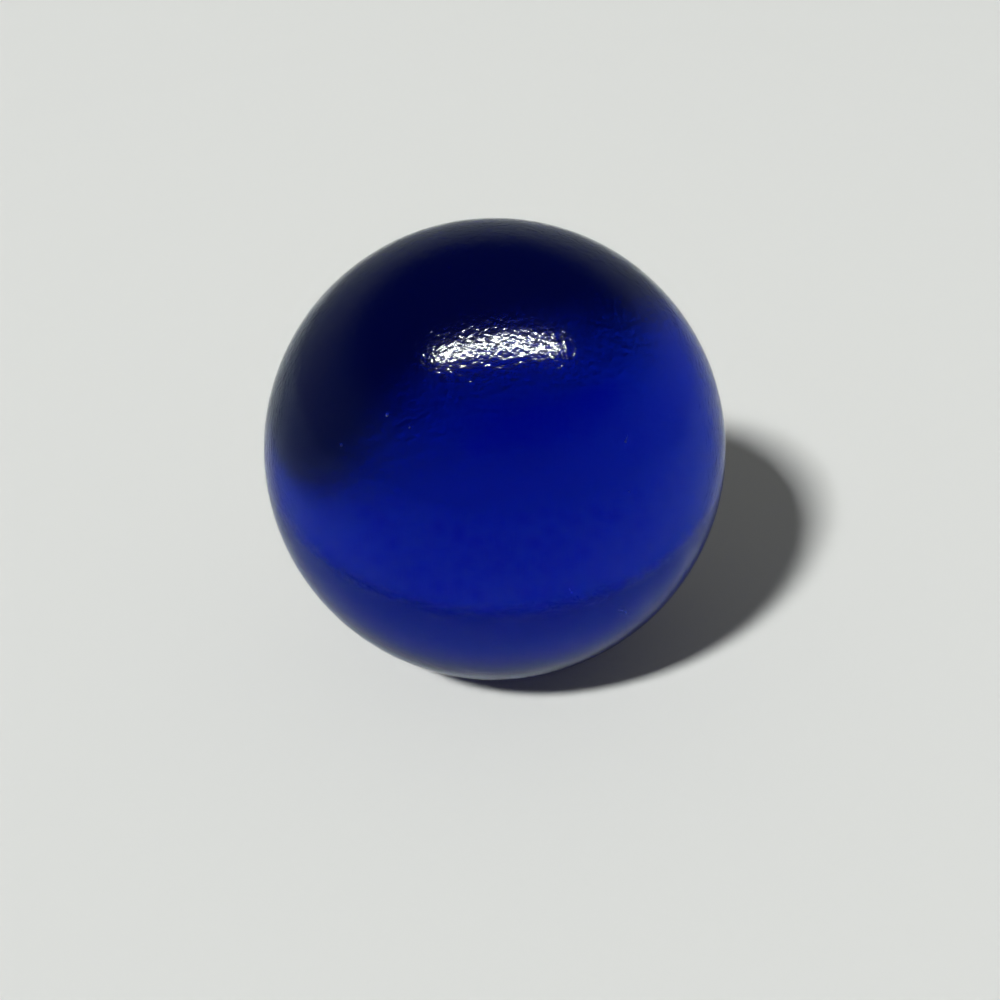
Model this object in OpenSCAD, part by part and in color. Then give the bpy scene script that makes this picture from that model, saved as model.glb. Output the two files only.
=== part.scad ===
// Glass marble: one solid ball, cast in clear cobalt blue glass.
// Millimetres. The origin is the ball's centre and +Z is up.
// Use has left small round nicks and fine scratches on one side of its surface.
// The place of a mark is its azimuth and its elevation, in degrees. Azimuth 0 is the
// front, towards -Y, and azimuth 90 is the right, towards +X.

/* [Ball] */
// Diameter of the ball
ball_d = 42; // [16:0.5:60]

/* [Nicks] */
// Width of a large nick across its rim
large_nick_w = 0.38; // [0.2:0.02:0.8]
// Depth of a large nick below its rim
large_nick_depth = 0.07; // [0.02:0.01:0.1]
// Width of a small nick across its rim
small_nick_w = 0.26; // [0.14:0.02:0.5]
// Depth of a small nick below its rim
small_nick_depth = 0.04; // [0.02:0.01:0.06]

/* [Scratches] */
// Width of every scratch at its middle
scratch_w = 0.12; // [0.08:0.01:0.2]
// Length of the straight scratch that runs out of a small nick
skid_len = 0.65; // [0.4:0.05:1.2]
// Depth of that scratch below its two ends
skid_depth = 0.02; // [0.01:0.005:0.03]
// Radius of the crescent scratch
crescent_r = 2.1; // [1:0.1:4]
// Depth of the crescent scratch at its middle, from where it thins out to both ends
crescent_depth = 0.03; // [0.02:0.005:0.04]

/* [Hidden] */

ball_r = ball_d / 2;

// Facets that the preview gives to the ball, to small round tips and to ring cutters
ball_facets = 240;
tip_facets = 48;
ring_facets = 360;

// Places of the plain nicks: [azimuth, elevation]
LARGE_NICKS = [[-40, 24], [-29, 33.5]];
SMALL_NICKS = [[-22, 32], [32, 15.5]];

// Places of the nicks that a scratch runs out of, and of the crescent's middle:
// [azimuth, elevation, heading]. Heading 0 runs level to the right and 90 straight up.
SKIDS = [[33.5, 26.5, 51], [17.3, -6, 117]];
CRESCENT = [33, -17.3, -45];

// How far the ball's round stands over a straight line of this span between two
// points on it
function crown(span) = ball_r - sqrt(ball_r * ball_r - span * span / 4);

// Radius of the arc that crosses a line over this span and reaches this far below it
function arc_r(span, reach) = (span * span / 4 + reach * reach) / (2 * reach);

// Radius of the wire that cuts a scratch of the common width to this depth
function wire_r(depth) = arc_r(scratch_w, depth - crown(scratch_w));

// Turns its children about the ball's centre, until their +X comes out at the place and
// their +Y runs along the heading there
module at(azimuth, elevation, heading = 0) {
    rotate([0, -elevation, azimuth - 90])
        rotate([heading, 0, 0])
            children();
}

// A wire ring that lies in the XY plane about the origin
module ring(middle_r, wire) {
    rotate_extrude($fn = ring_facets)
        translate([middle_r, 0])
            circle(r = wire, $fn = tip_facets);
}

// What a nick takes out at +X: the tip of a small ball that is pressed in
module nick_cutter(width, depth) {
    tip_r = arc_r(width, depth);
    translate([ball_r - crown(width) - depth + tip_r, 0, 0])
        sphere(r = tip_r, $fn = tip_facets);
}

// What a straight scratch takes out: a ring on edge, which dips in at +X, runs towards
// +Y and comes out of the glass at both ends
module skid_cutter() {
    middle_depth = crown(skid_len) + skid_depth;
    dip_r = arc_r(skid_len, skid_depth);
    wire = wire_r(middle_depth);
    turn_to_middle = skid_len / 2 / ball_r * 180 / PI;
    rotate([0, 0, turn_to_middle])
        translate([ball_r - middle_depth + dip_r, 0, 0])
            ring(dip_r - wire, wire);
}

// What the crescent takes out: a ring that lies flat against the ball, with the middle
// of the crescent at +X and the ring's centre towards -Z. The ball's round falls away
// from the ring on both sides of the middle.
module crescent_cutter() {
    wire = wire_r(crescent_depth);
    translate([ball_r - crescent_depth + wire, 0, -crescent_r])
        rotate([0, 90, 0])
            ring(crescent_r, wire);
}

module plain_nicks() {
    for (place = LARGE_NICKS)
        at(place[0], place[1])
            nick_cutter(large_nick_w, large_nick_depth);
    for (place = SMALL_NICKS)
        at(place[0], place[1])
            nick_cutter(small_nick_w, small_nick_depth);
}

module skids() {
    for (place = SKIDS)
        at(place[0], place[1], place[2]) {
            nick_cutter(small_nick_w, small_nick_depth);
            skid_cutter();
        }
}

module crescent() {
    at(CRESCENT[0], CRESCENT[1], CRESCENT[2])
        crescent_cutter();
}

module marble() {
    color([0.02, 0.1, 0.55, 0.8])
        difference() {
            sphere(d = ball_d, $fn = ball_facets);
            plain_nicks();
            skids();
            crescent();
        }
}

marble();
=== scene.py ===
# Glass marble: a solid ball of clear cobalt blue glass, shown on a plain studio floor.
# Metres, +Z up, with the ball's centre at the origin and the front towards -Y.
import math

import bpy
from mathutils import Euler, Matrix, Vector


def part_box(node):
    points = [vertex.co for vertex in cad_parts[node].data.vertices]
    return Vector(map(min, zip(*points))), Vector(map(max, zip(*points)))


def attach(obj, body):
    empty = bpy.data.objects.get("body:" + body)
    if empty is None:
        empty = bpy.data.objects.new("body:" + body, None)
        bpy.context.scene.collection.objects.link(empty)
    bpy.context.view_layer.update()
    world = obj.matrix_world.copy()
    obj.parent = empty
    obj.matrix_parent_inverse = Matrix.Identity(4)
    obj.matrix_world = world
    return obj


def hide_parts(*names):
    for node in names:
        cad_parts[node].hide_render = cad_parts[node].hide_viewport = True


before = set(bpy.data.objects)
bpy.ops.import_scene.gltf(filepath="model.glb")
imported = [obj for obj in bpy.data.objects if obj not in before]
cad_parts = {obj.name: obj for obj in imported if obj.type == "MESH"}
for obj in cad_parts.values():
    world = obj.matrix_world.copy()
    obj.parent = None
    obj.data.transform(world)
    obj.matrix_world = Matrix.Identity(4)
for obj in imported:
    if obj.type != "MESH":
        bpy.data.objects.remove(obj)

bl_info = {
    "name": "Glass Marble",
    "version": (1, 0, 0),
    "blender": (4, 5, 0),
    "location": "View3D > Sidebar > Marble",
    "description": "Builds a cobalt glass marble with its pebbled skin and marks of use, and its studio",
    "category": "Add Mesh",
}

CAD_BALL = "marble"
CAD_LOW, CAD_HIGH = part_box(CAD_BALL)
BALL_D = CAD_HIGH.z - CAD_LOW.z
MM = 0.001
GLASS = "cobalt_glass"
WORN = "worn"

# Places of the plain nicks: (azimuth, elevation) in degrees, where azimuth 0 is the front
LARGE_NICKS = ((-40, 24), (-29, 33.5))
SMALL_NICKS = ((-22, 32), (32, 15.5))
# Places of the nicks that a scratch runs out of, and of the crescent's middle: (azimuth,
# elevation, heading), where heading 0 runs level to the right and 90 straight up
SKIDS = ((33.5, 26.5, 51), (17.3, -6, 117))
CRESCENT = (33, -17.3, -45)


class MarbleSizes(bpy.types.PropertyGroup):
    diameter: bpy.props.FloatProperty(
        name="Diameter", description="Diameter of the ball",
        default=BALL_D, min=0.01, unit="LENGTH", precision=4)
    facets: bpy.props.IntProperty(
        name="Facets", description="Facets along each edge of the icosahedron that the ball starts from",
        default=96, min=8, max=96)
    wave: bpy.props.FloatVectorProperty(
        name="Wave", description="Length and height of the slow waves in the ball's surface",
        default=(4.5 * MM, 0.03 * MM), size=2, unit="LENGTH", precision=6)
    large_nick: bpy.props.FloatVectorProperty(
        name="Large nick", description="Width and depth of a large nick",
        default=(0.38 * MM, 0.07 * MM), size=2, unit="LENGTH", precision=6)
    small_nick: bpy.props.FloatVectorProperty(
        name="Small nick", description="Width and depth of a small nick",
        default=(0.26 * MM, 0.04 * MM), size=2, unit="LENGTH", precision=6)
    scratch_width: bpy.props.FloatProperty(
        name="Scratch width", description="Width of a scratch at its middle",
        default=0.12 * MM, unit="LENGTH", precision=6)
    skid: bpy.props.FloatVectorProperty(
        name="Skid", description="Length and depth of the straight scratch that runs out of a nick",
        default=(0.65 * MM, 0.02 * MM), size=2, unit="LENGTH", precision=6)
    crescent: bpy.props.FloatVectorProperty(
        name="Crescent", description="Radius and depth of the crescent scratch",
        default=(2.1 * MM, 0.03 * MM), size=2, unit="LENGTH", precision=6)


class MarbleGlass(bpy.types.PropertyGroup):
    tint: bpy.props.FloatVectorProperty(
        name="Tint", description="Colour that the glass lets through: it keeps most of the blue",
        default=(0.02, 0.39, 0.86), size=3, subtype="COLOR", min=0, max=1)
    depth: bpy.props.FloatProperty(
        name="Depth of colour", description="How fast a metre of glass takes away the other colours",
        default=200, min=0)
    ior: bpy.props.FloatProperty(
        name="Index of refraction", description="Index of refraction of soda-lime glass",
        default=1.52, min=1, max=2)
    bloom: bpy.props.FloatProperty(
        name="Bloom", description="Thickness in nanometres of the thin film that mutes reflections",
        default=100, min=0)
    bloom_ior: bpy.props.FloatProperty(
        name="Index of the bloom", description="Index of refraction of the thin film",
        default=1.12, min=1, max=2)
    shine: bpy.props.FloatVectorProperty(
        name="Shine", description="What the skin keeps of each colour that it mirrors, so that with the "
        "film it mirrors white as nearly white",
        default=(0.285, 0.435, 0.6), size=3, subtype="COLOR", min=0, max=1)
    pebble: bpy.props.FloatVectorProperty(
        name="Pebble", description="Size and height of the small humps of the skin",
        default=(0.5 * MM, 0.036 * MM), size=2, unit="LENGTH", precision=6)
    roughness: bpy.props.FloatProperty(
        name="Roughness", description="Roughness of the fire-polished skin",
        default=0.08, min=0, max=1)
    worn_roughness: bpy.props.FloatProperty(
        name="Worn roughness", description="Roughness of the glass inside nicks and scratches",
        default=0.35, min=0, max=1)


class MarbleStudio(bpy.types.PropertyGroup):
    floor_colour: bpy.props.FloatVectorProperty(
        name="Floor colour", description="Colour of the floor",
        default=(0.72, 0.735, 0.71), size=3, subtype="COLOR", min=0, max=1)
    air_colour: bpy.props.FloatVectorProperty(
        name="Surroundings", description="Colour of what stands round the floor, as it is seen and mirrored",
        default=(0.43, 0.44, 0.425), size=3, subtype="COLOR", min=0, max=1)
    ceiling_colour: bpy.props.FloatVectorProperty(
        name="Ceiling", description="Colour that the surroundings have overhead",
        default=(0.03, 0.03, 0.03), size=3, subtype="COLOR", min=0, max=1)
    wall_top: bpy.props.FloatProperty(
        name="Wall top", description="Angle over the horizon up to which the walls keep their colour",
        default=math.radians(15), subtype="ANGLE")
    ceiling_start: bpy.props.FloatProperty(
        name="Ceiling start", description="Angle over the horizon from which the ceiling has its colour",
        default=math.radians(40), subtype="ANGLE")
    fill: bpy.props.FloatProperty(
        name="Fill", description="Even light that the surroundings give",
        default=0.13, min=0)
    camera_elevation: bpy.props.FloatProperty(
        name="Camera elevation", description="Height of the camera above the ball's horizon, as an angle",
        default=math.radians(28.8), subtype="ANGLE")
    camera_distance: bpy.props.FloatProperty(
        name="Camera distance", description="From the camera to the ball's centre",
        default=0.133, unit="LENGTH")
    camera_lens: bpy.props.FloatProperty(
        name="Camera lens", description="Focal length in millimetres",
        default=52, min=1)
    camera_nudge: bpy.props.FloatVectorProperty(
        name="Camera nudge", description="How far the camera turns off the ball: up or down, and sideways",
        default=(math.radians(-1.98), math.radians(-0.2)), size=2)


def only(thing):
    """Leaves one object selected and active."""
    bpy.ops.object.select_all(action="DESELECT")
    thing.select_set(True)
    bpy.context.view_layer.objects.active = thing


def added(name):
    """Names the object that an add operator has just made."""
    thing = bpy.context.object
    thing.name = name
    thing.data.name = name
    return thing


def settle(thing):
    """Puts an object's place, turn and scale into its mesh."""
    only(thing)
    bpy.ops.object.transform_apply(location=True, rotation=True, scale=True)


class MARBLE_OT_ball(bpy.types.Operator):
    """Models the ball itself, with the slow waves that cooling left in its surface"""
    bl_idname = "marble.ball"
    bl_label = "Ball"

    def execute(self, context):
        sizes = context.scene.marble_sizes
        bpy.ops.object.select_all(action="DESELECT")
        bpy.ops.mesh.primitive_ico_sphere_add(subdivisions=1, radius=sizes.diameter / 2)
        ball = added("glass_ball")
        bpy.ops.object.mode_set(mode="EDIT")
        bpy.ops.mesh.select_all(action="SELECT")
        bpy.ops.mesh.subdivide(number_cuts=sizes.facets - 1)
        bpy.ops.transform.tosphere(value=1)
        bpy.ops.object.mode_set(mode="OBJECT")
        # the push towards a sphere evens the radius out only roughly
        for point in ball.data.vertices:
            point.co = point.co.normalized() * sizes.diameter / 2
        settle(ball)
        waves(ball, *sizes.wave)
        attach(ball, "root")
        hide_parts(CAD_BALL)
        return {"FINISHED"}


def waves(ball, length, height):
    """Lets the surface swell and sink a little, below the size that the CAD ball has."""
    swell = bpy.data.textures.new("swell", "CLOUDS")
    swell.noise_scale = length
    swell.noise_depth = 1
    only(ball)
    lift = ball.modifiers.new("waves", "DISPLACE")
    lift.texture = swell
    lift.texture_coords = "LOCAL"
    lift.mid_level = 1
    lift.strength = height
    bpy.ops.object.modifier_apply(modifier=lift.name)
    bpy.data.textures.remove(swell)


def crown(ball_r, span):
    """How far the ball's round stands over a straight line between two points on it."""
    return ball_r - math.sqrt(ball_r * ball_r - span * span / 4)


def arc_r(span, reach):
    """Radius of the arc that crosses a line over this span and reaches this far below it."""
    return (span * span / 4 + reach * reach) / (2 * reach)


def place(azimuth, elevation, heading=0):
    """Turns +X to this place on the ball, and +Y to this heading there."""
    out = Euler((0, math.radians(-elevation), math.radians(azimuth - 90))).to_matrix()
    return out @ Matrix.Rotation(math.radians(heading), 3, "X")


def nick_cutter(ball_r, spot, width, depth):
    """The tip of a small ball that is pressed in at this spot."""
    tip_r = arc_r(width, depth)
    centre = place(*spot) @ Vector((ball_r - crown(ball_r, width) - depth + tip_r, 0, 0))
    bpy.ops.object.select_all(action="DESELECT")
    bpy.ops.mesh.primitive_ico_sphere_add(subdivisions=5, radius=tip_r, location=centre)
    return added("nick_cutter")


def ring_cutter(turned, centre, middle_r, wire):
    """A ring of wire, which leaves a scratch where it passes through the glass."""
    bpy.ops.object.select_all(action="DESELECT")
    bpy.ops.mesh.primitive_torus_add(
        major_radius=middle_r, minor_radius=wire, major_segments=480, minor_segments=32,
        location=centre, rotation=turned.to_euler())
    return added("ring_cutter")


def skid_cutter(ball_r, spot, sizes):
    """A ring on edge, which dips in at the spot and comes out of the glass at both ends."""
    length, depth = sizes.skid
    middle_depth = crown(ball_r, length) + depth
    dip_r = arc_r(length, depth)
    wire = arc_r(sizes.scratch_width, middle_depth - crown(ball_r, sizes.scratch_width))
    turned = place(*spot) @ Matrix.Rotation(length / 2 / ball_r, 3, "Z")
    centre = turned @ Vector((ball_r - middle_depth + dip_r, 0, 0))
    return ring_cutter(turned, centre, dip_r - wire, wire)


def crescent_cutter(ball_r, spot, sizes):
    """A ring that lies flat against the ball, which falls away from it on both sides."""
    ring_r, depth = sizes.crescent
    wire = arc_r(sizes.scratch_width, depth - crown(ball_r, sizes.scratch_width))
    centre = place(*spot) @ Vector((ball_r - depth + wire, 0, -ring_r))
    turned = place(*spot) @ Matrix.Rotation(math.pi / 2, 3, "Y")
    return ring_cutter(turned, centre, ring_r, wire)


def bite(ball, cutter):
    """Takes the cutter's shape out of the ball, and marks the faces that it leaves as worn."""
    settle(cutter)
    mark(cutter, 1)
    only(ball)
    cut = ball.modifiers.new("cut", "BOOLEAN")
    cut.operation = "DIFFERENCE"
    cut.solver = "MANIFOLD"
    cut.object = cutter
    bpy.ops.object.modifier_apply(modifier=cut.name)
    bpy.data.meshes.remove(cutter.data)


def mark(thing, worn):
    """Gives every face of an object the same value of wear."""
    if WORN not in thing.data.attributes:
        thing.data.attributes.new(WORN, "FLOAT", "FACE")
    for face in thing.data.attributes[WORN].data:
        face.value = worn


class MARBLE_OT_marks(bpy.types.Operator):
    """Cuts the nicks and the scratches that use has left"""
    bl_idname = "marble.marks"
    bl_label = "Marks of use"

    def execute(self, context):
        sizes = context.scene.marble_sizes
        ball = bpy.data.objects["glass_ball"]
        ball_r = sizes.diameter / 2
        mark(ball, 0)
        for spot in LARGE_NICKS:
            bite(ball, nick_cutter(ball_r, spot, *sizes.large_nick))
        for spot in SMALL_NICKS:
            bite(ball, nick_cutter(ball_r, spot, *sizes.small_nick))
        for spot in SKIDS:
            bite(ball, nick_cutter(ball_r, spot, *sizes.small_nick))
            bite(ball, skid_cutter(ball_r, spot, sizes))
        bite(ball, crescent_cutter(ball_r, CRESCENT, sizes))
        return {"FINISHED"}


class MARBLE_OT_glass(bpy.types.Operator):
    """Gives the ball its glass and smooths it, apart from the rims of its marks"""
    bl_idname = "marble.glass"
    bl_label = "Glass"

    def execute(self, context):
        ball = bpy.data.objects["glass_ball"]
        ball.data.materials.clear()
        ball.data.materials.append(cobalt_glass(context.scene.marble_glass))
        only(ball)
        bpy.ops.object.shade_smooth_by_angle(angle=math.radians(15))
        return {"FINISHED"}


def cobalt_glass(look):
    """Clear glass whose colour lies in its depth, under a muted and pebbled skin."""
    material = bpy.data.materials.new(GLASS)
    material.use_nodes = True
    nodes, links = material.node_tree.nodes, material.node_tree.links
    shader = nodes["Principled BSDF"]
    shader.inputs["Base Color"].default_value = (1, 1, 1, 1)
    shader.inputs["IOR"].default_value = look.ior
    shader.inputs["Transmission Weight"].default_value = 1
    shader.inputs["Specular Tint"].default_value = (*look.shine, 1)
    shader.inputs["Thin Film Thickness"].default_value = look.bloom
    shader.inputs["Thin Film IOR"].default_value = look.bloom_ior
    volume = nodes.new("ShaderNodeVolumeAbsorption")
    volume.inputs["Color"].default_value = (*look.tint, 1)
    volume.inputs["Density"].default_value = look.depth
    links.new(volume.outputs["Volume"], nodes["Material Output"].inputs["Volume"])

    worn = nodes.new("ShaderNodeAttribute")
    worn.attribute_name = WORN
    dull = nodes.new("ShaderNodeMapRange")
    dull.inputs["To Min"].default_value = look.roughness
    dull.inputs["To Max"].default_value = look.worn_roughness
    links.new(worn.outputs["Fac"], dull.inputs["Value"])
    links.new(dull.outputs["Result"], shader.inputs["Roughness"])

    pebble_size, pebble_height = look.pebble
    spot = nodes.new("ShaderNodeTexCoord")
    humps = nodes.new("ShaderNodeTexNoise")
    humps.inputs["Scale"].default_value = 1 / pebble_size
    humps.inputs["Detail"].default_value = 1
    humps.inputs["Distortion"].default_value = 0.5
    links.new(spot.outputs["Object"], humps.inputs["Vector"])
    bump = nodes.new("ShaderNodeBump")
    bump.inputs["Distance"].default_value = pebble_height
    bump.inputs["Strength"].default_value = 1
    links.new(humps.outputs["Fac"], bump.inputs["Height"])
    links.new(bump.outputs["Normal"], shader.inputs["Normal"])
    return material


def direction(azimuth, elevation):
    """Points away from the ball's centre, where azimuth 0 is the front."""
    return place(azimuth, elevation) @ Vector((1, 0, 0))


def plain_paint(name, colour):
    """Matt paint in one colour."""
    material = bpy.data.materials.new(name)
    material.use_nodes = True
    shader = material.node_tree.nodes["Principled BSDF"]
    shader.inputs["Base Color"].default_value = (*colour, 1)
    shader.inputs["Roughness"].default_value = 0.9
    shader.inputs["Specular IOR Level"].default_value = 0
    return material


def lamp(name, azimuth, elevation, distance, size, power, turn):
    """A rectangular lamp in this direction from the ball, which it faces."""
    data = bpy.data.lights.new(name, "AREA")
    data.shape = "RECTANGLE"
    data.size, data.size_y = size
    data.energy = power
    thing = bpy.data.objects.new(name, data)
    bpy.context.scene.collection.objects.link(thing)
    towards = direction(azimuth, elevation)
    thing.location = towards * distance
    thing.rotation_euler = (-towards).to_track_quat("-Z", "Y").to_euler()
    thing.rotation_euler.rotate_axis("Z", math.radians(turn))
    return thing


def before_floor(nodes, links, rays):
    """1 on the way from the eye until the floor is met, and 0 after that."""
    first = nodes.new("ShaderNodeMath")
    first.operation = "LESS_THAN"
    first.inputs[1].default_value = 0.5
    links.new(rays.outputs["Diffuse Depth"], first.inputs[0])
    return first.outputs["Value"]


def keep_out_of_glass(thing):
    """Stops a lamp's light from being gathered into hard bright spots behind the glass."""
    thing.data.use_nodes = True
    nodes, links = thing.data.node_tree.nodes, thing.data.node_tree.links
    rays = nodes.new("ShaderNodeLightPath")
    outside = nodes.new("ShaderNodeMath")
    outside.operation = "SUBTRACT"
    outside.inputs[0].default_value = 1
    links.new(rays.outputs["Is Transmission Ray"], outside.inputs[1])
    links.new(outside.outputs["Value"], nodes["Emission"].inputs["Strength"])


def only_as_mirrored(thing):
    """Lets a lamp show in the glass, with no light from it on the floor."""
    thing.visible_diffuse = False
    thing.data.use_nodes = True
    nodes, links = thing.data.node_tree.nodes, thing.data.node_tree.links
    rays = nodes.new("ShaderNodeLightPath")
    links.new(before_floor(nodes, links, rays), nodes["Emission"].inputs["Strength"])


def surroundings(studio):
    """Pale walls and a dim ceiling, as they are seen, mirrored or looked at through glass, and an
    even fill as a light."""
    world = bpy.data.worlds.new("studio_air")
    world.use_nodes = True
    nodes, links = world.node_tree.nodes, world.node_tree.links
    way = nodes.new("ShaderNodeTexCoord")
    height = nodes.new("ShaderNodeSeparateXYZ")
    links.new(way.outputs["Generated"], height.inputs["Vector"])
    colour = nodes.new("ShaderNodeValToRGB")
    colour.color_ramp.interpolation = "EASE"
    wall_end, ceiling_start = colour.color_ramp.elements
    wall_end.position = math.sin(studio.wall_top)
    wall_end.color = (*studio.air_colour, 1)
    ceiling_start.position = math.sin(studio.ceiling_start)
    ceiling_start.color = (*studio.ceiling_colour, 1)
    links.new(height.outputs["Z"], colour.inputs["Fac"])
    view = nodes.new("ShaderNodeBackground")
    links.new(colour.outputs["Color"], view.inputs["Color"])
    light = nodes["Background"]
    light.inputs["Color"].default_value = (1, 1, 1, 1)
    light.inputs["Strength"].default_value = studio.fill

    rays = nodes.new("ShaderNodeLightPath")
    seen = rays.outputs["Is Camera Ray"]
    for kind in ("Is Glossy Ray", "Is Transmission Ray"):
        either = nodes.new("ShaderNodeMath")
        either.operation = "MAXIMUM"
        links.new(seen, either.inputs[0])
        links.new(rays.outputs[kind], either.inputs[1])
        seen = either.outputs["Value"]
    direct = nodes.new("ShaderNodeMath")
    direct.operation = "MULTIPLY"
    links.new(seen, direct.inputs[0])
    links.new(before_floor(nodes, links, rays), direct.inputs[1])
    either_way = nodes.new("ShaderNodeMixShader")
    links.new(direct.outputs["Value"], either_way.inputs["Fac"])
    links.new(light.outputs["Background"], either_way.inputs[1])
    links.new(view.outputs["Background"], either_way.inputs[2])
    links.new(either_way.outputs["Shader"], nodes["World Output"].inputs["Surface"])
    return world


class MARBLE_OT_stage(bpy.types.Operator):
    """Sets up the floor, the surroundings, the lamps and the camera"""
    bl_idname = "marble.stage"
    bl_label = "Stage"

    def execute(self, context):
        studio = context.scene.marble_studio
        floor_z = -context.scene.marble_sizes.diameter / 2
        floor_width = 4
        floor_depth = 2.4
        floor_back = 0.315
        bpy.ops.object.select_all(action="DESELECT")
        bpy.ops.mesh.primitive_plane_add(size=1, location=(0, floor_back - floor_depth / 2, floor_z))
        floor = added("floor")
        floor.scale = (floor_width, floor_depth, 1)
        settle(floor)
        floor.data.materials.append(plain_paint("floor_paint", studio.floor_colour))
        context.scene.world = surroundings(studio)

        key = lamp(
            "key_box", azimuth=-34, elevation=43, distance=20, size=(2.25, 1.5), power=5000, turn=50)
        key.visible_glossy = False
        key.visible_transmission = False
        keep_out_of_glass(key)
        tube = lamp(
            "tube", azimuth=6, elevation=79, distance=1.5, size=(1.45, 0.07), power=175, turn=1)
        only_as_mirrored(tube)

        towards = direction(0, math.degrees(studio.camera_elevation))
        data = bpy.data.cameras.new("camera")
        data.lens = studio.camera_lens
        data.clip_start = 0.005
        camera = bpy.data.objects.new("camera", data)
        context.scene.collection.objects.link(camera)
        camera.location = towards * studio.camera_distance
        camera.rotation_mode = "QUATERNION"
        nudge = Euler((*studio.camera_nudge, 0)).to_quaternion()
        camera.rotation_quaternion = (-towards).to_track_quat("-Z", "Y") @ nudge
        context.scene.camera = camera
        context.scene.view_settings.view_transform = "Standard"
        return {"FINISHED"}


class MARBLE_PT_panel(bpy.types.Panel):
    """Has a button for each step, in the order in which they run"""
    bl_label = "Marble"
    bl_idname = "MARBLE_PT_panel"
    bl_space_type = "VIEW_3D"
    bl_region_type = "UI"
    bl_category = "Marble"

    def draw(self, context):
        column = self.layout.column()
        for step in STEPS:
            column.operator(step.bl_idname)


STEPS = (MARBLE_OT_ball, MARBLE_OT_marks, MARBLE_OT_glass, MARBLE_OT_stage)
CLASSES = (MarbleSizes, MarbleGlass, MarbleStudio, *STEPS, MARBLE_PT_panel)


def register():
    for part in CLASSES:
        bpy.utils.register_class(part)
    bpy.types.Scene.marble_sizes = bpy.props.PointerProperty(type=MarbleSizes)
    bpy.types.Scene.marble_glass = bpy.props.PointerProperty(type=MarbleGlass)
    bpy.types.Scene.marble_studio = bpy.props.PointerProperty(type=MarbleStudio)


def unregister():
    del bpy.types.Scene.marble_studio
    del bpy.types.Scene.marble_glass
    del bpy.types.Scene.marble_sizes
    for part in reversed(CLASSES):
        bpy.utils.unregister_class(part)


def main():
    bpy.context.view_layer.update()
    register()
    bpy.ops.marble.ball()
    bpy.ops.marble.marks()
    bpy.ops.marble.glass()
    bpy.ops.marble.stage()


if __name__ == "__main__":
    main()
